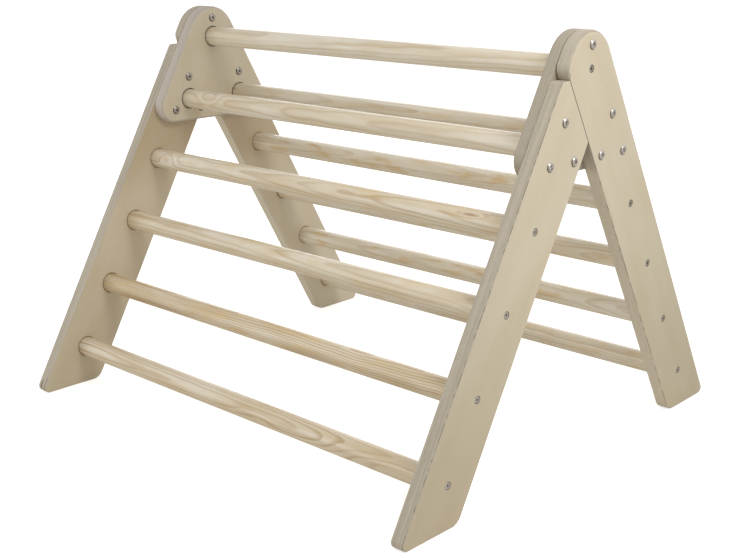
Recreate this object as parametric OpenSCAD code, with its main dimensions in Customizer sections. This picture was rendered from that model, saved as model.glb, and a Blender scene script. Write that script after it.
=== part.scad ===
// Folding climbing triangle: two A-shaped ladder sides joined by round rungs.
// X runs along the rungs, Y from the front ladder to the back ladder, Z up.
// The origin is on the floor, in the middle of the footprint.

/* [Frame] */
// Width across the outer faces of the back legs
overall_w = 712; // [560:2:900]
// Height from the floor to the top of the rounded heads
overall_h = 535; // [515:1:620]
// Lean of each ladder from upright
splay = 29.6; // [28:0.2:31]
// Width of a leg board
leg_w = 86; // [82:1:92]
// Thickness of a leg board
leg_t = 18; // [16:1:24]
// Radius of the head, drawn around the top rung
head_r = 44.3; // [42:0.1:47]
// Radius of the head's lower front tip
tip_r = 15; // [12:1:20]
// Drop from the top of the heads to the flat tops of the front legs
front_top_drop = 54.2; // [51:0.2:57]
// Radius of the front corner on a front leg's flat top
front_top_r = 5; // [4:0.5:7]
// Radius of the pointed outer corner of a foot
toe_r = 8; // [6:0.5:12]
// Radius of the blunt inner corner of a foot
heel_r = 18; // [6:1:24]

/* [Shoulder plates] */
// Thickness of a shoulder plate
plate_t = 16; // [13:1:20]
// Height of a shoulder plate, from the top of its head to its lower edge
plate_h = 167; // [162:1:174]
// Radius of the lower corners of a shoulder plate
plate_r = 25; // [20:1:32]

/* [Rungs] */
// Diameter of a rung
rung_d = 28; // [24:1:32]
// Height of the shoulder rungs above the lower edge of a shoulder plate
shoulder_rung_up = 33.6; // [31:0.1:37]
// Distance of the shoulder rungs from a shoulder plate's slanting edge
shoulder_rung_in = 45.7; // [42:0.1:50]
// Distance along a leg from the floor to the rung nearest it
low_rung_up = 62.6; // [54:0.1:80]
// Depth of the rung sockets in the legs
leg_socket = 12; // [9:1:13]
// Depth of the rung sockets in the shoulder plates
plate_socket = 10; // [7:1:11]

/* [Bolts] */
// Height of the top bolt above the top rung
top_bolt_up = 27.7; // [24:0.1:31]
// Distance along a leg from its shoulder rung up to its upper bolt
upper_bolt_up = 28.2; // [26:0.1:32]
// Distance of the outer bolts from a leg's outer edge
outer_bolt_in = 29.5; // [26:0.5:33]
// Distance of the inner bolt from a leg's inner edge
inner_bolt_in = 15; // [13:0.5:18]
// Height of the lower bolts above the lower edge of a shoulder plate
lower_bolt_up = 18.7; // [16:0.1:22]
// Diameter of a bolt's shank
bolt_d = 6; // [5:0.5:6.5]
// Diameter of the bolt and sleeve nut heads
bolt_head_d = 12; // [11:0.5:15]
// Height of the bolt and sleeve nut heads
bolt_head_h = 2; // [1.4:0.2:3]
// Height of the upright rim round those heads, below the bevel
bolt_rim_h = 0.6; // [0.3:0.1:1]
// Diameter of the flat on top of those heads, inside the bevel
bolt_flat_d = 8.5; // [7:0.5:10]
// Outer diameter of a sleeve nut's barrel
sleeve_d = 9; // [8:0.5:10]
// Thread length of a clamp bolt in its sleeve nut
thread_len = 12; // [6:1:12]
// Width across the flats of the bolts' hexagon sockets
bolt_key = 4; // [3:0.5:4.5]

/* [Rung screws] */
// Diameter of a screw's shank
screw_d = 5; // [4:0.5:6]
// Length of a screw under its head
screw_len = 42; // [30:1:60]
// Diameter of a screw's countersunk head
screw_head_d = 9.5; // [8.5:0.5:11]
// Height of the countersunk head
screw_head_h = 3.5; // [2.5:0.5:4.5]
// Width across the flats of the screws' hexagon sockets
screw_key = 3.5; // [2.5:0.5:4]
// Depth of the screw heads below the face of the wood
screw_sink = 0.5; // [0.2:0.1:1]

/* [Rounded edges] */
// Rounding of the back legs' outer faces and of the shoulder plates' inner faces
soft_edge = 5; // [3.5:0.5:6]
// Rounding of the back legs' inner faces
plain_edge = 3; // [2:0.5:3.5]
// Rounding of the front legs, the soles, the seam and the shoulder plates' outer faces
fine_edge = 1; // [0.5:0.25:1.25]
// Radius of the corners at the ends of the seam
crisp_r = 1.5; // [1.5:0.25:3]
// Chamfer on the mouths of the rung sockets and on the rung ends
socket_chamfer = 0.5; // [0.3:0.1:1.5]

/* [Clearances] */
// Gap along the seam between a front leg and a back leg
seam_gap = 0.6; // [0.4:0.1:1.2]
// Gap between a front leg and its shoulder plate
fold_gap = 0.3; // [0.2:0.1:0.6]
// Gap around a rung in its socket
rung_gap = 0.4; // [0.1:0.1:0.6]
// Gap around a bolt, a sleeve nut or a screw in its hole
bolt_gap = 0.2; // [0.1:0.05:0.4]
// Running clearance around a pivot sleeve
pivot_gap = 0.05; // [0.02:0.01:0.1]

/* [Hidden] */
$fn = 64;

front = -1;
back = 1;
left = -1;
right = 1;

birch = [0.83, 0.78, 0.68];
pine = [0.82, 0.74, 0.58];
zinc = [0.74, 0.76, 0.79];

leg_rungs = 4;        // rungs between the two legs of each ladder, each with its own node
cut = 1;              // how far a cutting body stands clear of the face it cuts
arc_step = 8;         // the largest step of an outline's arcs, in degrees
edge_steps = 4;       // steps in the quarter circle of a rounded edge

// The peak is the point where the outer edges of a front leg and a back leg would meet.
peak_h = overall_h + head_r * (1 / sin(splay) - 1);
top_rung_h = peak_h - head_r / sin(splay);
front_top_h = overall_h - front_top_drop;
plate_low_h = overall_h - plate_h;
lower_bolt_h = plate_low_h + lower_bolt_up;

// Faces across the width, from the middle outwards.
leg_in = overall_w / 2 - leg_t;
leg_out = overall_w / 2;
plate_in = leg_in - plate_t;
front_in = leg_in + fold_gap;
front_out = front_in + leg_t;
ladder_rung_end = leg_in + leg_socket;
shoulder_rung_end = plate_in + plate_socket;

// A point on a side, u along the outer edge from the peak and d in from that edge.
function on_leg(side, u, d) = [
    side * (u * sin(splay) - d * cos(splay)),
    peak_h - u * cos(splay) - d * sin(splay)
];
// A point on a side at height h, d in from the outer edge.
function at_height(side, h, d) = [side * ((peak_h - h) * tan(splay) - d / cos(splay)), h];
// Distance along the outer edge from the peak to a point at height h, d in from that edge.
function along(h, d) = (peak_h - h - d * sin(splay)) / cos(splay);
// The point that is df in from the front edge and db in from the back edge.
function crossing(df, db) = [(df - db) / (2 * cos(splay)), peak_h - (df + db) / (2 * sin(splay))];

// The leg rungs share out the length between the shoulder rung and the lowest rung.
shoulder_rung_h = plate_low_h + shoulder_rung_up;
shoulder_along = along(shoulder_rung_h, shoulder_rung_in);
lowest_along = along(0, leg_w / 2) - low_rung_up;
rung_pitch = (lowest_along - shoulder_along) / leg_rungs;

top_rung_at = [0, top_rung_h];
function shoulder_rung_at(side) = at_height(side, shoulder_rung_h, shoulder_rung_in);
function rung_at(side, n) = on_leg(side, shoulder_along + n * rung_pitch, leg_w / 2);

top_bolt_at = [0, top_rung_h + top_bolt_up];
function upper_bolt_at(side) = on_leg(side, shoulder_along - upper_bolt_up, outer_bolt_in);
function outer_bolt_at(side) = at_height(side, lower_bolt_h, outer_bolt_in);
function inner_bolt_at(side) = at_height(side, lower_bolt_h, leg_w - inner_bolt_in);

// Clamp bolts of the back legs, bolts that lock the front legs, and the pivots.
back_bolts_at = [top_bolt_at, upper_bolt_at(back), outer_bolt_at(back), inner_bolt_at(back)];
lock_bolts_at = [upper_bolt_at(front), outer_bolt_at(front)];
pivot_at = inner_bolt_at(front);

// Outlines, drawn anticlockwise with the back to the right. Each corner is
// [across, up, corner radius, edge rounding]. Between two corners the rounding changes evenly.
function corner(p, r, edge) = [p[0], p[1], r, edge];

function back_leg_outline(edge) = [
    corner(at_height(back, 0, leg_w), heel_r, fine_edge),
    corner(at_height(back, 0, 0), toe_r, edge),
    corner([0, peak_h], head_r, edge),
    corner(crossing(0, leg_w), tip_r, edge),
    corner(at_height(back, front_top_h, leg_w), crisp_r, fine_edge)
];
front_leg_outline = [
    corner(at_height(front, 0, 0), toe_r, fine_edge),
    corner(at_height(front, 0, leg_w), heel_r, fine_edge),
    corner(crossing(leg_w, leg_w + seam_gap), crisp_r, fine_edge),
    corner(at_height(back, front_top_h, leg_w + seam_gap), crisp_r, fine_edge),
    corner(at_height(front, front_top_h, 0), front_top_r, fine_edge)
];
function plate_outline(edge) = [
    corner(at_height(front, plate_low_h, 0), plate_r, edge),
    corner(at_height(back, plate_low_h, 0), plate_r, edge),
    corner([0, peak_h], head_r, edge)
];

// Geometry of an outline's corners: each is an arc about a centre on the bisector.
function xy(p) = [p[0], p[1]];
function unit(v) = v / norm(v);
function heading(c, i) = unit(xy(c[(i + 1) % len(c)]) - xy(c[i]));
function heading_in(c, i) = unit(xy(c[i]) - xy(c[(i + len(c) - 1) % len(c)]));
function turn(c, i) = acos(min(1, heading_in(c, i) * heading(c, i)));
function arc_start(c, i) = xy(c[i]) - heading_in(c, i) * c[i][2] * tan(turn(c, i) / 2);
function arc_centre(c, i) = arc_start(c, i) + c[i][2] * [-heading_in(c, i)[1], heading_in(c, i)[0]];
function arc_steps(c, i) = ceil(turn(c, i) / arc_step);

// A closed ring of points at height z(corner), moved in by inset(corner) from the outline.
function ring(c, share_in, z) = [
    for (i = [0:len(c) - 1]) for (j = [0:arc_steps(c, i)])
        let (
            a = atan2(heading_in(c, i)[1], heading_in(c, i)[0]) - 90
                + (arc_steps(c, i) == 0 ? 0 : turn(c, i) * j / arc_steps(c, i)),
            p = arc_centre(c, i) + (c[i][2] - c[i][3] * share_in) * [cos(a), sin(a)]
        )
        [p[0], p[1], z(c[i][3])]
];

// A board with one outline for its inner face's edges and one for its outer face's. Its
// rings climb round the inner face's edges, up the wall and round the outer face's edges.
module board(inner, outer, thickness) {
    rings = concat(
        [for (k = [0:edge_steps]) let (a = 90 - 90 * k / edge_steps)
            ring(inner, 1 - cos(a), function (r) r * (1 - sin(a)))],
        [for (k = [0:edge_steps]) let (a = 90 * k / edge_steps)
            ring(outer, 1 - cos(a), function (r) thickness - r * (1 - sin(a)))]
    );
    n = len(rings[0]);
    last = len(rings) - 1;
    sides = [for (k = [0:last - 1]) for (i = [0:n - 1]) for (half = [0, 1])
        let (a = k * n + i, b = k * n + (i + 1) % n)
        half == 0 ? [a, a + n, b] : [b, a + n, b + n]];
    polyhedron(
        points = [for (r = rings) for (p = r) p],
        faces = concat([[for (i = [0:n - 1]) i]], [[for (i = [0:n - 1]) last * n + n - 1 - i]], sides)
    );
}

// Turns a drawing upright: its x becomes Y, its y becomes Z and it is extruded along +X.
module upright(x) {
    translate([x, 0, 0]) rotate([90, 0, 90]) children();
}

module on_side(side) {
    if (side == right) children();
    else mirror([1, 0, 0]) children();
}

module on_both_sides() {
    for (side = [left, right]) on_side(side) children();
}

// A round bar along +X, at p = [across, up], from x1 to x2.
module bar(p, d, x1, x2) {
    translate([x1, p[0], p[1]]) rotate([0, 90, 0]) cylinder(d = d, h = x2 - x1);
}

// A cone along +X from diameter d1 at x1 to d2 at x2.
module cone(p, d1, d2, x1, x2) {
    translate([x1, p[0], p[1]]) rotate([0, 90, 0]) cylinder(d1 = d1, d2 = d2, h = x2 - x1);
}

// The hexagon socket, cut inwards along -X from a head at x.
module key_socket(p, key, x, depth) {
    translate([x + cut, p[0], p[1]])
        rotate([0, -90, 0])
        cylinder(d = key / cos(30), h = depth + cut, $fn = 6);
}

// The socket for a rung: its floor is at x2 and its chamfered mouth at x1, x1 < x2.
module rung_socket(p, x1, x2) {
    bore = rung_d + 2 * rung_gap;
    bar(p, bore, x1 - cut, x2);
    cone(p, bore + 2 * (socket_chamfer + cut), bore, x1 - cut, x1 + socket_chamfer);
}

// The hole for a rung screw under the face at x, wide enough for its sunk head.
module screw_hole(p, x) {
    head_x = x - screw_sink;
    bar(p, screw_d + 2 * bolt_gap, head_x - screw_len, head_x);
    cone(p, screw_d, screw_head_d, head_x - screw_head_h, head_x);
    bar(p, screw_head_d + 2 * bolt_gap, head_x, x + cut);
}

module back_leg(side) {
    color(birch) on_side(side) difference() {
        upright(leg_in)
            board(back_leg_outline(plain_edge), back_leg_outline(soft_edge), leg_t);
        rung_socket(top_rung_at, leg_in, ladder_rung_end);
        screw_hole(top_rung_at, leg_out);
        for (n = [1:leg_rungs]) {
            rung_socket(rung_at(back, n), leg_in, ladder_rung_end);
            screw_hole(rung_at(back, n), leg_out);
        }
        for (p = back_bolts_at)
            bar(p, bolt_d + 2 * bolt_gap, leg_in - cut, leg_out + cut);
    }
}

module front_leg(side) {
    color(birch) on_side(side) difference() {
        upright(front_in) board(front_leg_outline, front_leg_outline, leg_t);
        for (n = [1:leg_rungs]) {
            rung_socket(rung_at(front, n), front_in, ladder_rung_end);
            screw_hole(rung_at(front, n), front_out);
        }
        for (p = lock_bolts_at)
            bar(p, bolt_d + 2 * bolt_gap, front_in - cut, front_out + cut);
        bar(pivot_at, sleeve_d + 2 * pivot_gap, front_in - cut, front_out + cut);
    }
}

// The plate behind each head. It clamps the back leg and the front leg turns on it.
module shoulder_plate(side) {
    color(birch) on_side(side) difference() {
        upright(plate_in)
            board(plate_outline(soft_edge), plate_outline(fine_edge), plate_t);
        rung_socket(top_rung_at, plate_in, leg_in + cut);
        for (s = [front, back]) {
            rung_socket(shoulder_rung_at(s), plate_in, shoulder_rung_end);
            screw_hole(shoulder_rung_at(s), leg_in);
        }
        for (p = concat(back_bolts_at, lock_bolts_at))
            bar(p, sleeve_d + 2 * bolt_gap, plate_in - cut, leg_in + cut);
        bar(pivot_at, sleeve_d + 2 * pivot_gap, plate_in - cut, leg_in + cut);
    }
}

// A rung with chamfered ends and in each a pilot hole for the screw under the face at x.
module rung(p, end, x) {
    color(pine) difference() {
        bar(p, rung_d, -end, end);
        on_both_sides() {
            bar(p, screw_d, x - screw_sink - screw_len, end + cut);
            difference() {
                bar(p, rung_d + 2 * cut, end - socket_chamfer, end + cut);
                cone(p, rung_d, rung_d - 2 * (socket_chamfer + cut), end - socket_chamfer, end + cut);
            }
        }
    }
}

module front_rung(n) {
    rung(rung_at(front, n), ladder_rung_end, front_out);
}

module back_rung(n) {
    rung(rung_at(back, n), ladder_rung_end, leg_out);
}

module shoulder_rung_part(side) {
    rung(shoulder_rung_at(side), shoulder_rung_end, leg_in);
}

// A countersunk rung screw whose head is sunk under the face at x.
module rung_screw(p, x) {
    head_x = x - screw_sink;
    color(zinc) difference() {
        union() {
            bar(p, screw_d, head_x - screw_len, head_x);
            cone(p, screw_d, screw_head_d, head_x - screw_head_h, head_x);
        }
        key_socket(p, screw_key, head_x, screw_head_h / 2);
    }
}

module rung_screws(side, x) {
    on_both_sides() for (n = [1:leg_rungs]) rung_screw(rung_at(side, n), x);
}

// A low head with a rim and a wide bevel, standing on the face at x.
module flat_head(p, x) {
    bar(p, bolt_head_d, x, x + bolt_rim_h);
    cone(p, bolt_head_d, bolt_flat_d, x + bolt_rim_h, x + bolt_head_h);
}

// A bolt with its head on the face at x and its shank ending at x_end.
module bolt(p, x, x_end) {
    color(zinc) difference() {
        union() {
            flat_head(p, x);
            bar(p, bolt_d, x_end, x);
        }
        key_socket(p, bolt_key, x + bolt_head_h, bolt_head_h);
    }
}

// A sleeve nut with its head on the plate's inner face and its barrel ending at x_end.
module sleeve_nut(p, x_end) {
    color(zinc) difference() {
        union() {
            mirror([1, 0, 0]) flat_head(p, -plate_in);
            bar(p, sleeve_d, plate_in, x_end);
        }
        bar(p, bolt_d, leg_in - thread_len, x_end + cut);
        mirror([1, 0, 0]) key_socket(p, bolt_key, -(plate_in - bolt_head_h), bolt_head_h);
    }
}

// The pivot's barrel runs on through the front leg and carries the bolt's head clear of it.
pivot_end = front_out + fold_gap;

back_leg(left);  // left_back_leg
back_leg(right);  // right_back_leg
front_leg(left);  // left_front_leg
front_leg(right);  // right_front_leg
shoulder_plate(left);  // left_shoulder_plate
shoulder_plate(right);  // right_shoulder_plate
rung(top_rung_at, ladder_rung_end, leg_out);  // top_rung
shoulder_rung_part(front);  // front_shoulder_rung
shoulder_rung_part(back);  // back_shoulder_rung
front_rung(1);  // front_rung_1
front_rung(2);  // front_rung_2
front_rung(3);  // front_rung_3
front_rung(4);  // front_rung_4
back_rung(1);  // back_rung_1
back_rung(2);  // back_rung_2
back_rung(3);  // back_rung_3
back_rung(4);  // back_rung_4
rung_screws(front, front_out);  // front_rung_screws
rung_screws(back, leg_out);  // back_rung_screws
on_both_sides() rung_screw(top_rung_at, leg_out);  // top_rung_screws
on_both_sides() for (s = [front, back]) rung_screw(shoulder_rung_at(s), leg_in);  // shoulder_rung_screws
on_both_sides() for (p = back_bolts_at) bolt(p, leg_out, leg_in - thread_len);  // back_bolts
on_both_sides() for (p = back_bolts_at) sleeve_nut(p, leg_in);  // back_sleeve_nuts
on_both_sides() for (p = lock_bolts_at) bolt(p, front_out, front_in);  // front_lock_bolts
on_both_sides() for (p = lock_bolts_at) sleeve_nut(p, leg_in);  // front_lock_nuts
on_both_sides() bolt(pivot_at, pivot_end, leg_in - thread_len);  // pivot_bolts
on_both_sides() sleeve_nut(pivot_at, pivot_end);  // pivot_sleeves
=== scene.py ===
"""A folding climbing triangle for toddlers, dressed for its photograph.

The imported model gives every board, rung and fastener in metres, with the rungs along X and +Z up.
"""

import math

import bpy
from mathutils import Matrix, Vector


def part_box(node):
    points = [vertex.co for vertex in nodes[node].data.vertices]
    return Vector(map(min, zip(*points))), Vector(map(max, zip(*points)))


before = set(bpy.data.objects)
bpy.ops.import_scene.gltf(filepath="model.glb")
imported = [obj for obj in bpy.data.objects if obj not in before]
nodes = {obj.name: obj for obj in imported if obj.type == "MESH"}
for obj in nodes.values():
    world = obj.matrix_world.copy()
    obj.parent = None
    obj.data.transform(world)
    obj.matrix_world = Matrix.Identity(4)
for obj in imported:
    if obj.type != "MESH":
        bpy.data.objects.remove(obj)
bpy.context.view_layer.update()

# ---- Shoulder plates --------------------------------------------------------------------
# Rounded triangles of birch plywood, routed to shape and rounded over on the side that
# shows. One lies flat behind each head. The face veneer's grain stands upright.


class Wire:
    """One output of a material's nodes. Arithmetic on it adds Math nodes."""

    def __init__(self, tree, socket):
        self.tree, self.socket = tree, socket

    def node(self, kind, settings, inputs, output=0):
        """Adds a node with its settings and then its inputs, and returns one of its outputs."""
        made = self.tree.nodes.new("ShaderNode" + kind)
        for name, value in settings.items():
            setattr(made, name, value)
        for name, value in inputs.items():
            if isinstance(value, Wire):
                self.tree.links.new(value.socket, made.inputs[name])
            else:
                made.inputs[name].default_value = value
        return Wire(self.tree, made.outputs[output])

    def math(self, operation, *others):
        return self.node("Math", {"operation": operation}, dict(enumerate((self, *others))))

    def reflected(self, operation, other):
        return self.node("Math", {"operation": operation}, {0: other, 1: self})

    def __add__(self, other):
        return self.math("ADD", other)

    def __sub__(self, other):
        return self.math("SUBTRACT", other)

    def __rsub__(self, other):
        return self.reflected("SUBTRACT", other)

    def __mul__(self, other):
        return self.math("MULTIPLY", other)

    def __truediv__(self, other):
        return self.math("DIVIDE", other)

    def __rtruediv__(self, other):
        return self.reflected("DIVIDE", other)

    __radd__, __rmul__ = __add__, __mul__

    def rise(self, low, high):
        """0 below low, 1 above high, and a smooth step between them."""
        ends = {"Value": self, "From Min": low, "From Max": high}
        return self.node("MapRange", {"interpolation_type": "SMOOTHSTEP"}, ends)

    def spot(self, x, y, z):
        """A vector of three numbers or wires."""
        return self.node("CombineXYZ", {}, {"X": x, "Y": y, "Z": z})

    def cloud(self, detail=2.0, roughness=0.5):
        """Smooth noise at this vector, from 0 to 1, with about one lump to a unit."""
        looks = {"Vector": self, "Scale": 1.0, "Detail": detail, "Roughness": roughness}
        return self.node("TexNoise", {}, looks)

    def tint(self, start, end):
        """The colour this far on the way from one colour to another."""
        ends = {"Factor": self, 6: start, 7: end}
        return self.node("Mix", {"data_type": "RGBA"}, ends, output=2)

    def towards(self, colour, share):
        """This colour, so far on the way to another."""
        ends = {"Factor": share, 6: self, 7: colour}
        return self.node("Mix", {"data_type": "RGBA"}, ends, output=2)

    def relief(self, depth_mm):
        """The normal of a surface that this height, from 0 to 1, lifts by a depth."""
        return self.node("Bump", {}, {"Height": self, "Distance": depth_mm / 1000})


def paint(red, green, blue):
    """A colour as a screen shows it, 0 to 255, in the renderer's linear light."""
    return (*(((c / 255 + 0.055) / 1.055) ** 2.4 for c in (red, green, blue)), 1.0)


def blank_finish(name):
    """A new material: itself, its shader, and x, y and z on the piece in millimetres."""
    material = bpy.data.materials.new(name)
    material.use_nodes = True
    tree = material.node_tree
    place = Wire(tree, tree.nodes.new("ShaderNodeTexCoord").outputs["Object"])
    place = place.node("VectorMath", {"operation": "SCALE"}, {0: place, "Scale": 1000.0})
    split = [place.node("SeparateXYZ", {}, {0: place}, output=axis) for axis in range(3)]
    return material, tree.nodes["Principled BSDF"], split


def set_looks(shader, **looks):
    """Sets the shader's sockets, named with an underscore for each space."""
    for name, value in looks.items():
        socket = shader.inputs[name.replace("_", " ")]
        if isinstance(value, Wire):
            value.tree.links.new(value.socket, socket)
        else:
            socket.default_value = value


def dress(names, material):
    """Gives pieces one material."""
    for name in names:
        nodes[name].data.materials.clear()
        nodes[name].data.materials.append(material)


JOIN_M = 1e-6
CREASE = math.radians(35)
FLAT_FACES_FIRST = 80


def smoothing():
    """Geometry nodes that join a board's faces at their edges and shade them smooth."""
    group = bpy.data.node_groups.new("joined_and_smooth", "GeometryNodeTree")
    for way in ("INPUT", "OUTPUT"):
        group.interface.new_socket("Geometry", in_out=way, socket_type="NodeSocketGeometry")
    start = group.nodes.new("NodeGroupInput")
    join = group.nodes.new("GeometryNodeMergeByDistance")
    shade = group.nodes.new("GeometryNodeSetShadeSmooth")
    end = group.nodes.new("NodeGroupOutput")
    join.inputs["Distance"].default_value = JOIN_M
    for first, second in ((start, join), (join, shade), (shade, end)):
        group.links.new(first.outputs[0], second.inputs[0])
    return group


joined_and_smooth = smoothing()


def soften(names):
    """Shades the rounded edges as smooth curves, and keeps flat faces flat and bores crisp."""
    for name in names:
        nodes[name].modifiers.new("join", "NODES").node_group = joined_and_smooth
        nodes[name].modifiers.new("crease", "EDGE_SPLIT").split_angle = CREASE
        nodes[name].modifiers.new("even", "WEIGHTED_NORMAL").weight = FLAT_FACES_FIRST


def axis_of(rung):
    """Where a rung's axis stands across and up, in millimetres."""
    low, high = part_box(rung)
    return (low.y + high.y) * 500, (low.z + high.z) * 500


def off_axes(y, z, axes):
    """Distance in millimetres from the nearest of some axes along X."""
    distances = []
    for axis_y, axis_z in axes:
        dy, dz = y - axis_y, z - axis_z
        distances.append((dy * dy + dz * dz).math("SQRT"))
    nearest = distances.pop()
    for distance in distances:
        nearest = nearest.math("MINIMUM", distance)
    return nearest


VENEER = paint(216, 204, 180)
VENEER_WARM = paint(208, 194, 166)
VENEER_FLECK = paint(184, 167, 134)
LONG_PLY = paint(196, 186, 168)
END_PLY = paint(168, 158, 141)
GLUE_LINE = paint(132, 116, 92)
PLY_VOID = paint(84, 66, 44)
# Near black: burn and painted shade in the plates' sockets, painted shade in the seam.
BURN_AND_SHADE = paint(52, 36, 22)
SHEETS_APART = 40.0
ARRIS_FADES_IN_MM, ARRIS_FADES_OUT_MM = (0.3, 0.6), (1.2, 1.6)
VENEER_BEGINS, VENEER_WHOLE = 0.78, 0.995
AT_FACE_MM = 0.5
SOCKET_MM = 15.5
SOCKET_STOPS_MM = 5.0
PLY_ROUGH = 0.52


class Plywood:
    """The plywood of a left and a right board, which stand across X and mirror each other."""

    def __init__(self, name, board, plies, lean, seed):
        """The right-hand board gives the thickness. The face grain leans from upright."""
        self.material, self.shader, (self.x, self.y, self.z) = blank_finish(name)
        low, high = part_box(board)
        self.inner, self.outer = low.x * 1000, high.x * 1000
        self.from_middle = self.x.math("ABSOLUTE")
        self.from_outer = self.outer - self.from_middle
        self.right = self.x.math("GREATER_THAN", 0.0)
        self.side = self.x.math("SIGN") * SHEETS_APART + seed
        self.along = self.y * math.sin(lean) + self.z * math.cos(lean)
        self.across = self.y * math.cos(lean) - self.z * math.sin(lean)
        self.peel_veneer()
        self.stack_layers(plies)

    def patches(self, length_mm, width_mm, layer, **looks):
        """Noise with lumps so long along the face grain and so wide across it."""
        place = self.x.spot(self.along / length_mm, self.across / width_mm, layer)
        return place.cloud(**looks)

    def peel_veneer(self):
        """The face has faint streaks, broad warm clouds, a fine mottle and short flecks."""
        self.streak = self.patches(160.0, 2.6, self.side, detail=4.0, roughness=0.6)
        self.cloud = self.patches(130.0, 40.0, self.side + 7.0)
        self.fleck = self.patches(7.0, 0.7, self.side + 3.0)
        self.mottle = self.patches(5.0, 2.5, self.side + 5.0)
        warm = (self.streak * 0.3 + self.cloud * 0.6 + self.mottle * 0.2).rise(0.35, 0.8)
        self.face = warm.tint(VENEER, VENEER_WARM)
        self.face = self.face.towards(VENEER_FLECK, self.fleck.rise(0.66, 0.8) * 0.3)

    def stack_layers(self, plies):
        """The edge shows end grain on every other layer, and each layer has its own tone.

        The outermost layers are sanded to half their thickness.
        """
        deep = (self.from_middle - self.inner) * ((plies - 1) / (self.outer - self.inner)) + 0.5
        layer, within = deep.math("FLOOR"), deep.math("FRACT")
        nearest_glue = (deep + 0.5).math("FLOOR")
        self.glue = 1.0 - (within * (1.0 - within)).rise(0.03, 0.13)
        self.fibre = self.patches(30.0, 30.0, deep * 3.0 + self.side, detail=3.0, roughness=0.7)
        self.speck = self.patches(1.3, 1.3, deep * 1.7 + self.side, detail=1.0)
        self.gape = self.patches(9.0, 9.0, nearest_glue * 5.3 + self.side, detail=3.0)
        tone = self.x.spot(self.along / 200.0, layer * 3.7, self.side).cloud()
        long_ply = (self.fibre * 0.5 + tone * 0.5).rise(0.3, 0.75).tint(LONG_PLY, END_PLY)
        end_ply = (self.speck * 0.3 + tone * 0.7).rise(0.3, 0.7).tint(END_PLY, LONG_PLY)
        self.edge = layer.math("MODULO", 2.0).tint(long_ply, end_ply)
        self.edge = self.edge.towards(GLUE_LINE, self.glue * 0.5)

    def age_edge(self, spotted):
        """A few glue lines gape, and dark spots lie, so strongly, beside the outer arris."""
        self.edge = self.edge.towards(PLY_VOID, self.glue * self.gape.rise(0.56, 0.68) * 0.7)
        band = self.from_outer.rise(*ARRIS_FADES_IN_MM)
        band = band * (1.0 - self.from_outer.rise(*ARRIS_FADES_OUT_MM))
        self.edge = self.edge.towards(PLY_VOID, band * self.gape.rise(0.42, 0.56) * spotted)

    def glue_up(self, veneered_outside=True):
        """Puts the veneer on the flat faces and the layers on the edges and rounded arrises."""
        facing = self.x.node("NewGeometry", {}, {}, output="Normal")
        sideways = facing.node("SeparateXYZ", {}, {0: facing}).math("ABSOLUTE")
        self.skin = sideways.rise(VENEER_BEGINS, VENEER_WHOLE)
        if not veneered_outside:
            self.skin = self.skin * self.from_outer.math("GREATER_THAN", AT_FACE_MM)
        self.colour = self.edge.towards(self.face, self.skin)

    def bore(self, rungs, scorch_and_shade):
        """Darkens the rungs' sockets, which stop short of the outer face: partly burnt by the
        cutter, partly painted shade of the gap round each rung.
        """
        beside = off_axes(self.y, self.z, [axis_of(rung) for rung in rungs])
        deep_enough = self.from_middle.math("LESS_THAN", self.outer - SOCKET_STOPS_MM)
        bored = beside.math("LESS_THAN", SOCKET_MM) * deep_enough
        self.colour = self.colour.towards(scorch_and_shade, bored * 0.95)

    def lacquer(self, boards):
        """Finishes the boards in clear matt lacquer, under which the grain can be felt."""
        bare = 1.0 - self.skin
        grain = self.streak * 0.4 + self.fleck * 0.2 + self.mottle * 0.2
        lift = (grain + self.speck * bare * 0.4).relief(depth_mm=0.12)
        rough = PLY_ROUGH - self.streak * 0.1 + bare * 0.12
        set_looks(self.shader, Base_Color=self.colour, Roughness=rough, Normal=lift)
        dress(boards, self.material)
        soften(boards)


# The plates' layers hardly show, and the left-hand rim is the paler one. The outer faces,
# which lie against the legs, are as dark as the rim.
LEFT_RIM, RIGHT_RIM = paint(196, 187, 176), paint(163, 153, 135)
LAYERS_SHOW = 0.35

plates = ["left_shoulder_plate", "right_shoulder_plate"]
plate_ply = Plywood("plate_plywood", plates[1], plies=11, lean=0.0, seed=3.0)
rim = plate_ply.right.tint(LEFT_RIM, RIGHT_RIM)
plate_ply.edge = rim.towards(plate_ply.edge, LAYERS_SHOW)
plate_ply.age_edge(spotted=0.15)
plate_ply.glue_up(veneered_outside=False)
plate_ply.bore(["top_rung", "front_shoulder_rung", "back_shoulder_rung"], BURN_AND_SHADE)
plate_ply.lacquer(plates)

# ---- Back legs --------------------------------------------------------------------------
# Two long boards of thicker birch plywood, each cut in one piece with the rounded head that
# carries the top rung. The grain runs up the leg.

LEAN = math.radians(29.6)
LEG_PLIES = 13
# Painted shade towards the floor.
VENEER_SHADED_LOW = paint(188, 173, 142)
# Painted warm shade under the plates.
VENEER_SHADED = paint(172, 143, 96)
# The legs' sockets: burn, with painted shade of the gap round each rung.
SCORCH_AND_SHADE = paint(176, 150, 108)
SHADED_LOW_TO_MM = 320.0
SHADED_FROM_MM, SHADED_TO_MM = 240.0, 350.0
SEAM_MM = 0.6


def towards_back(y, z):
    """How far back a place lies, at a right angle to the seam."""
    return y * math.cos(LEAN) + z * math.sin(LEAN)


# The seam: how far back its middle lies, and its lowest point, with a little to spare, and
# its highest.
LITTLE_MM = 2.0
sawn_edge = max(towards_back(v.co.y, v.co.z) for v in nodes["left_front_leg"].data.vertices)
seam_mm = sawn_edge * 1000 + SEAM_MM / 2
seam_low_mm = sawn_edge * 1000 / math.sin(LEAN) - LITTLE_MM
seam_high_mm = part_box("left_front_leg")[1].z * 1000


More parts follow.
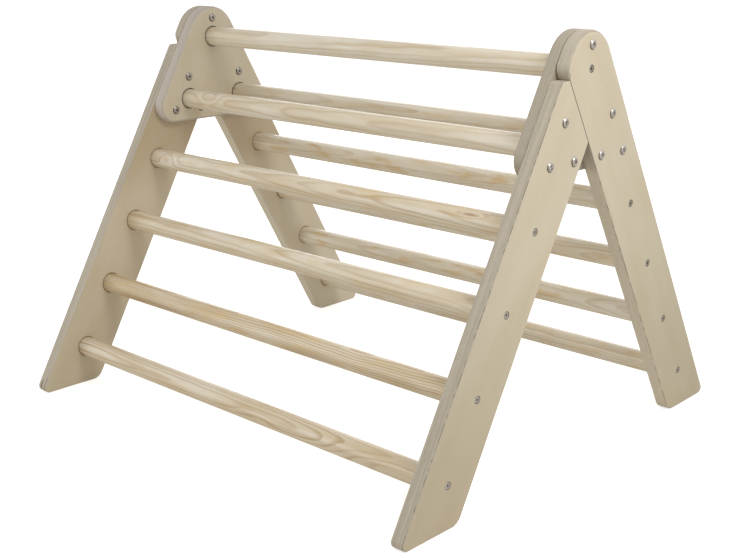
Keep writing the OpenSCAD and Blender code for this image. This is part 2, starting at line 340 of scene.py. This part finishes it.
class LegPlywood(Plywood):
    """The legs' plywood, with painted shade towards the floor, under the plates and in the seam."""

    def shade_low(self, left, right):
        """The faces darken towards the floor, by so much on the left and on the right, as painted
        shade.
        """
        low_down = 1.0 - self.z.rise(0.0, SHADED_LOW_TO_MM)
        duller = self.right * (right - left) + left
        self.face = self.face.towards(VENEER_SHADED_LOW, low_down * (0.7 + self.cloud * 0.6) * duller)

    def shade_inside(self):
        """The inner faces are browner high up, where the plates lie on them and below: painted warm
        shade under the plates.
        """
        inside = self.from_middle.math("LESS_THAN", self.inner + AT_FACE_MM)
        warm_shade = inside * self.z.rise(SHADED_FROM_MM, SHADED_TO_MM) * 0.45
        self.face = self.face.towards(VENEER_SHADED, warm_shade)

    def shade_seam(self):
        """Darkens both sides of the seam: painted shade of the narrow gap between the legs."""
        beside = (towards_back(self.y, self.z) - seam_mm).math("ABSOLUTE")
        seam_faces = beside.math("LESS_THAN", SEAM_MM)
        seam_faces = seam_faces * self.z.math("GREATER_THAN", seam_low_mm)
        seam_faces = seam_faces * self.z.math("LESS_THAN", seam_high_mm)
        self.colour = self.colour.towards(BURN_AND_SHADE, seam_faces * 0.45)


back_legs = ["left_back_leg", "right_back_leg"]
back_ply = LegPlywood("back_leg_plywood", back_legs[1], LEG_PLIES, lean=-LEAN, seed=11.0)
back_ply.shade_low(left=0.0, right=0.55)
back_ply.shade_inside()

# Up to the heads the edges are paler, as painted light from the floor and from in front.
# Above, the spots beside the arris are faint.
LIT_UP_TO_MM = (360.0, 400.0)
SPOTTED_UP_TO_MM = (350.0, 390.0)
SPOTTED, FAINT = 0.6, 0.15
lit_low = 1.0 - back_ply.z.rise(*LIT_UP_TO_MM)
back_ply.edge = back_ply.edge.towards(VENEER, lit_low * 0.6)
back_ply.age_edge(SPOTTED + back_ply.z.rise(*SPOTTED_UP_TO_MM) * (FAINT - SPOTTED))

back_ply.glue_up()
back_ply.bore(["top_rung"] + [f"back_rung_{n}" for n in (1, 2, 3, 4)], SCORCH_AND_SHADE)
back_ply.shade_seam()
back_ply.lacquer(back_legs)

# ---- Front legs -------------------------------------------------------------------------
# Two shorter boards of the same plywood that meet the back legs along the seam beside the
# head. They swing on the shoulder plates when the climber is folded.

front_legs = ["left_front_leg", "right_front_leg"]
front_ply = LegPlywood("front_leg_plywood", front_legs[1], LEG_PLIES, lean=LEAN, seed=23.0)
front_ply.shade_low(left=0.55, right=0.5)
front_ply.shade_inside()
front_ply.age_edge(SPOTTED)

# Two splits in the edge of the left toe: depth from the inner face, half width, and their
# lowest and highest points. They close over the last millimetres at each end.
TOE_SPLITS_MM = ((3.2, 0.9, 1.0, 26.0), (11.5, 2.2, 2.0, 20.0))
CLOSING_MM = 6.0
for depth, half_width, lowest, highest in TOE_SPLITS_MM:
    wavering = (front_ply.fibre - 0.5) * half_width
    beside = (front_ply.x + front_ply.inner + depth + wavering).math("ABSOLUTE")
    split = 1.0 - beside.rise(half_width * 0.4, half_width)
    split = split * front_ply.z.rise(lowest, lowest + CLOSING_MM)
    split = split * (1.0 - front_ply.z.rise(highest - CLOSING_MM, highest))
    front_ply.edge = front_ply.edge.towards(PLY_VOID, split * 0.8)

front_ply.glue_up()
front_ply.bore([f"front_rung_{n}" for n in (1, 2, 3, 4)], SCORCH_AND_SHADE)
front_ply.shade_seam()
front_ply.lacquer(front_legs)

# ---- Rungs ------------------------------------------------------------------------------
# Turned pine dowels, sawn from different planks, so that each shows the year rings from
# another side. Their ends sit in the boards' sockets and are screwed fast from outside.

PINE_PALE = paint(231, 224, 209)
PINE_STRAW = paint(216, 203, 177)
PINE_WARM = paint(200, 180, 143)
PINE_LATE = paint(176, 147, 102)
PINE_KNOT = paint(150, 108, 68)
PINE_AMBER = paint(211, 184, 134)
PINE_ROUGH = 0.42
DRIFT_OVER_MM = 664.0
RIPPLE_MM = 2.6
PLANKS_APART = 5.3


def turned(distance, degrees):
    """A place so far from an axis along X, at a turn from +Y."""
    return distance * math.cos(math.radians(degrees)), distance * math.sin(math.radians(degrees))


def pine(rung, seed, heart, ring_mm, drift_mm, warmth, resin, wander_mm=22.0, eyes=()):
    """Pine whose year rings lie round a heart, at a distance and a turn from the dowel's axis.

    The heart drifts away along the dowel and wanders, which draws out the flames. At an eye
    a number of rings run round a small branch or a hollow: it has a place along X and a
    turn round the dowel, a half length and half width, and it may be dark. Resin colours
    patches amber.
    """
    material, shader, (x, y, z) = blank_finish(rung + "_pine")
    low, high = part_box(rung)
    middle_y, middle_z = axis_of(rung)
    radius = (high.z - low.z) * 500
    y, z = y - middle_y, z - middle_z

    def figure(length_mm, width_mm, shift=seed, **looks):
        """Noise drawn out along the dowel."""
        return x.spot(x / length_mm, y / width_mm, z / width_mm + shift).cloud(**looks)

    wander = (x.spot(x / 260.0, seed, 0.0).cloud() - 0.5) * wander_mm
    ripple = (figure(60.0, 14.0) - 0.5) * RIPPLE_MM
    shell = off_axes(y, z, [turned(*heart)]) + x * (drift_mm / DRIFT_OVER_MM) + wander + ripple
    knot = 0.0
    for eye in eyes:
        eye_x, eye_turn = eye["at"]
        half_length, half_width = eye["half"]
        eye_y, eye_z = turned(radius, eye_turn)
        near_x = (x - eye_x) / half_length
        near_y, near_z = (y - eye_y) / half_width, (z - eye_z) / half_width
        apart = near_x * near_x + near_y * near_y + near_z * near_z
        bulge = (apart * -1.0).math("EXPONENT")
        shell = shell + bulge * (ring_mm * eye["rings"])
        knot = knot + bulge.rise(0.6, 0.95) * eye["dark"]

    # A year ring darkens slowly through the summer and ends at once. Some years are faint.
    years = shell / ring_mm
    season = years.math("FRACT")
    late = season.rise(0.45, 0.9) * (1.0 - season.rise(0.93, 1.0))
    year = x.spot(years.math("FLOOR") * 1.7, seed, x / 300.0).cloud()
    late = late * (year * 1.5 - 0.1).math("MAXIMUM", 0.1)

    fibre = figure(34.0, 0.8, detail=3.0)
    board = figure(120.0, 18.0)
    amber = figure(45.0, 10.0, shift=seed * 2.0)
    colour = (fibre * 0.4 + board * 0.7).rise(0.3, 0.85).tint(PINE_PALE, PINE_STRAW)
    colour = colour.towards(PINE_WARM, (board.rise(0.3, 0.7) * 0.6 + 0.4) * warmth)
    colour = colour.towards(PINE_AMBER, amber.rise(0.5, 0.7) * resin)
    colour = colour.towards(PINE_LATE, late * (0.3 + warmth * 0.85))
    colour = colour.towards(PINE_KNOT, knot)
    lift = (fibre * 0.6 + late * 0.4).relief(depth_mm=0.1)
    set_looks(shader, Base_Color=colour, Roughness=PINE_ROUGH - late * 0.08, Normal=lift)
    set_looks(shader, Coat_Weight=0.5, Coat_Roughness=0.35)
    return material


RUNGS = {
    "top_rung": dict(heart=(60.0, 132.0), ring_mm=6.0, drift_mm=14.0, warmth=0.27, resin=0.12),
    "front_shoulder_rung": dict(
        heart=(48.0, 165.0), ring_mm=6.2, drift_mm=-22.0, warmth=0.43, resin=0.1,
        eyes=[dict(at=(-262.0, 150.0), half=(26.0, 9.0), rings=2.2, dark=0.14)],
    ),
    "back_shoulder_rung": dict(
        heart=(44.0, 150.0), ring_mm=4.6, drift_mm=18.0, warmth=0.3, resin=0.45,
    ),
    "front_rung_1": dict(
        heart=(42.0, 150.0), ring_mm=5.2, drift_mm=-28.0, warmth=0.5, resin=0.5,
        eyes=[
            dict(at=(-300.0, 160.0), half=(20.0, 10.0), rings=2.2, dark=0.12),
            dict(at=(270.0, 140.0), half=(20.0, 3.0), rings=2.2, dark=0.7),
        ],
    ),
    "front_rung_2": dict(
        heart=(40.0, 128.0), ring_mm=6.0, drift_mm=-20.0, warmth=0.52, resin=0.35,
    ),
    "front_rung_3": dict(
        heart=(34.0, 88.0), ring_mm=3.4, drift_mm=12.0, warmth=1.15, resin=0.7,
        eyes=[
            dict(at=(-220.0, 204.0), half=(150.0, 8.0), rings=1.5, dark=0.45),
            dict(at=(110.0, 208.0), half=(100.0, 7.0), rings=1.5, dark=0.35),
        ],
    ),
    "front_rung_4": dict(
        heart=(46.0, 160.0), ring_mm=3.2, drift_mm=6.0, warmth=0.85, resin=0.15, wander_mm=8.0,
        eyes=[
            dict(at=(300.0, 175.0), half=(120.0, 13.0), rings=5.5, dark=0.0),
            dict(at=(60.0, 175.0), half=(50.0, 7.0), rings=1.5, dark=0.0),
        ],
    ),
    "back_rung_1": dict(heart=(40.0, 150.0), ring_mm=4.4, drift_mm=24.0, warmth=0.25, resin=0.9),
    "back_rung_2": dict(heart=(36.0, 190.0), ring_mm=5.0, drift_mm=-14.0, warmth=0.3, resin=0.7),
    "back_rung_3": dict(heart=(44.0, 160.0), ring_mm=4.8, drift_mm=-26.0, warmth=0.25, resin=0.75),
    "back_rung_4": dict(heart=(32.0, 120.0), ring_mm=4.4, drift_mm=12.0, warmth=0.4, resin=0.6),
}
for order, (rung, looks) in enumerate(RUNGS.items()):
    dress([rung], pine(rung, seed=order * PLANKS_APART, **looks))

# ---- Bolts and sleeve nuts --------------------------------------------------------------
# Low hexagon-socket bolts through the legs and the sleeve nuts that they screw into, whose
# heads lie on the plates' inner faces. Steel with a bright zinc plating, with dirt and
# painted shade in the rims and the sockets.

BOLT_HEAD_MM = 6.0
BOLT_SOCKET_MM = 2.2
ZINC = paint(214, 209, 203)
ZINC_CLOUDY = paint(190, 184, 177)
DULL_ZINC = paint(178, 172, 162)
GRIME_AND_SHADE = paint(92, 80, 64)


def axes_of(names):
    """Where fasteners that run along X stand across and up, in millimetres."""
    clusters = []
    for name in names:
        for vertex in nodes[name].data.vertices:
            spot = vertex.co.yz * 1000
            for cluster in clusters:
                if (cluster[0] - spot).length < 2 * BOLT_HEAD_MM:
                    cluster.append(spot)
                    break
            else:
                clusters.append([spot])
    middles = []
    for cluster in clusters:
        across, up = [spot[0] for spot in cluster], [spot[1] for spot in cluster]
        middles.append(((min(across) + max(across)) / 2, (min(up) + max(up)) / 2))
    return middles


def zinc(names, head_mm, socket_mm, rim_mm, plating, duller, rough, hollow=0.5):
    """Dresses fasteners in zinc, with dirt and painted shade in a rim and, as hollow says, in the
    hexagon.

    The head and the socket are given by their radius, and the rim by its width.
    """
    material, shader, (x, y, z) = blank_finish(names[0] + "_zinc")
    beside = off_axes(y, z, axes_of(names))
    haze = x.spot(x / 2.5, y / 2.5, z / 2.5).cloud(detail=3.0)
    grain = x.spot(x / 0.4, y / 0.4, z / 0.4).cloud()
    # Dirt and painted shade darken the rim and the socket.
    in_rim = beside.rise(head_mm - rim_mm, head_mm - rim_mm / 2) * (0.7 + haze * 0.3)
    in_socket = (1.0 - beside.rise(socket_mm - 0.4, socket_mm + 0.3)) * hollow
    grime_and_shade = in_rim.math("MAXIMUM", in_socket)
    colour = haze.rise(0.35, 0.7).tint(plating, duller).towards(GRIME_AND_SHADE, grime_and_shade)
    rough = rough + haze * 0.15 + grime_and_shade * 0.2
    lift = (grain * 0.5 + haze * 0.5).relief(depth_mm=0.05)
    set_looks(shader, Base_Color=colour, Metallic=1.0 - grime_and_shade * 0.6, Roughness=rough, Normal=lift)
    dress(names, material)


bolts = ["back_bolts", "front_lock_bolts", "pivot_bolts"]
sleeves = ["back_sleeve_nuts", "front_lock_nuts", "pivot_sleeves"]
zinc(bolts, BOLT_HEAD_MM, BOLT_SOCKET_MM,
     rim_mm=1.0, plating=ZINC, duller=ZINC_CLOUDY, rough=0.22, hollow=0.1)
zinc(sleeves, BOLT_HEAD_MM, BOLT_SOCKET_MM,
     rim_mm=1.9, plating=ZINC_CLOUDY, duller=DULL_ZINC, rough=0.3)

# ---- Rung screws ------------------------------------------------------------------------
# Countersunk hexagon-socket screws into the ends of the rungs, sunk just below the faces of
# the legs and plates. Their zinc is duller than the bolts'.

SCREW_HEAD_MM = 4.75
SCREW_SOCKET_MM = 1.7

zinc(["front_rung_screws"], SCREW_HEAD_MM, SCREW_SOCKET_MM,
     rim_mm=1.3, plating=ZINC, duller=ZINC_CLOUDY, rough=0.35)
zinc(["back_rung_screws", "top_rung_screws", "shoulder_rung_screws"], SCREW_HEAD_MM, SCREW_SOCKET_MM,
     rim_mm=1.4, plating=DULL_ZINC, duller=ZINC_CLOUDY, rough=0.3)

# ---- Studio -----------------------------------------------------------------------------
# A white floor in a white room, which lights the climber from all round. A lamp with a
# narrow beam adds to it above the right-hand heads, and broad ones in front and behind.

BLACK, WHITE = (0.0, 0.0, 0.0, 1.0), (1.0, 1.0, 1.0, 1.0)
FLOOR_PAINT = paint(240, 238, 233)
FLOOR_HALF = 40.0
FLOOR_GLOW = 0.62
ROOM_LIGHT = 0.65

floor_mesh = bpy.data.meshes.new("studio_floor")
corners = [(x * FLOOR_HALF, y * FLOOR_HALF, 0.0) for x, y in ((-1, -1), (1, -1), (1, 1), (-1, 1))]
floor_mesh.from_pydata(corners, [], [(0, 1, 2, 3)])
floor = bpy.data.objects.new("studio_floor", floor_mesh)
bpy.context.scene.collection.objects.link(floor)
floor_white, floor_shader, (floor_x, _, _) = blank_finish("floor_white")
seen = floor_x.node("LightPath", {}, {}, output="Is Camera Ray")
set_looks(floor_shader, Base_Color=FLOOR_PAINT, Roughness=0.9, Specular_IOR_Level=0.0)
set_looks(floor_shader, Emission_Color=seen.tint(BLACK, WHITE), Emission_Strength=FLOOR_GLOW)
floor_mesh.materials.append(floor_white)

world = bpy.data.worlds.new("studio_walls")
world.use_nodes = True
bpy.context.scene.world = world
walls = world.node_tree.nodes["Background"]
room = Wire(world.node_tree, walls.outputs["Background"])
camera_ray, glossy_ray, clear_ray = (
    room.node("LightPath", {}, {}, output=f"Is {kind} Ray")
    for kind in ("Camera", "Glossy", "Transmission")
)
direct = camera_ray.math("MAXIMUM", glossy_ray).math("MAXIMUM", clear_ray)
room_grey = (ROOM_LIGHT, ROOM_LIGHT, ROOM_LIGHT, 1.0)
set_looks(walls, Color=direct.tint(room_grey, WHITE), Strength=1.0)


def softbox(name, place, aim, size, spread, watts):
    """A rectangular lamp that shines from a place to an aim, with its beam's spread in degrees."""
    lamp = bpy.data.lights.new(name, "AREA")
    lamp.shape, lamp.energy = "RECTANGLE", watts
    lamp.size, lamp.size_y = size
    lamp.spread = math.radians(spread)
    stand = bpy.data.objects.new(name, lamp)
    stand.location = place
    stand.rotation_euler = (Vector(aim) - Vector(place)).to_track_quat("-Z", "Y").to_euler()
    stand.visible_camera = False
    bpy.context.scene.collection.objects.link(stand)


softbox("right_softbox", place=(1.1, -0.2, 1.3), aim=(0.36, -0.05, 0.45),
        size=(0.5, 0.5), spread=50.0, watts=0.78)
softbox("front_softbox", place=(-1.2, -2.0, 0.5), aim=(0.0, 0.0, 0.2),
        size=(1.4, 1.0), spread=180.0, watts=9.0)
softbox("back_softbox", place=(-1.5, 2.2, 0.9), aim=(0.0, 0.0, 0.3),
        size=(2.0, 1.2), spread=180.0, watts=12.0)

# ---- Camera -----------------------------------------------------------------------------
# It stands in front and to the right, a little above the climber, and rolls by a hair.

VIEW_TURN, VIEW_RISE, VIEW_ROLL = (math.radians(a) for a in (43.363, 16.105, -0.290))
VIEW_PLACE = Vector((1.14071, -1.20227, 0.64856))
FOCAL_PIXELS, PHOTO_WIDTH = 1219.4, 742

back = Vector((
    math.sin(VIEW_TURN) * math.cos(VIEW_RISE),
    -math.cos(VIEW_TURN) * math.cos(VIEW_RISE),
    math.sin(VIEW_RISE),
))
level = Vector((math.cos(VIEW_TURN), math.sin(VIEW_TURN), 0.0))
right = level * math.cos(VIEW_ROLL) + back.cross(level) * math.sin(VIEW_ROLL)
turn = Matrix((right, back.cross(right), back)).transposed().to_4x4()
lens = bpy.data.cameras.new("photo_camera")
lens.sensor_width = 36.0
lens.lens = FOCAL_PIXELS * lens.sensor_width / PHOTO_WIDTH
camera = bpy.data.objects.new("photo_camera", lens)
camera.matrix_world = Matrix.Translation(VIEW_PLACE) @ turn
bpy.context.scene.collection.objects.link(camera)
bpy.context.scene.camera = camera
bpy.context.scene.view_settings.view_transform = "Standard"
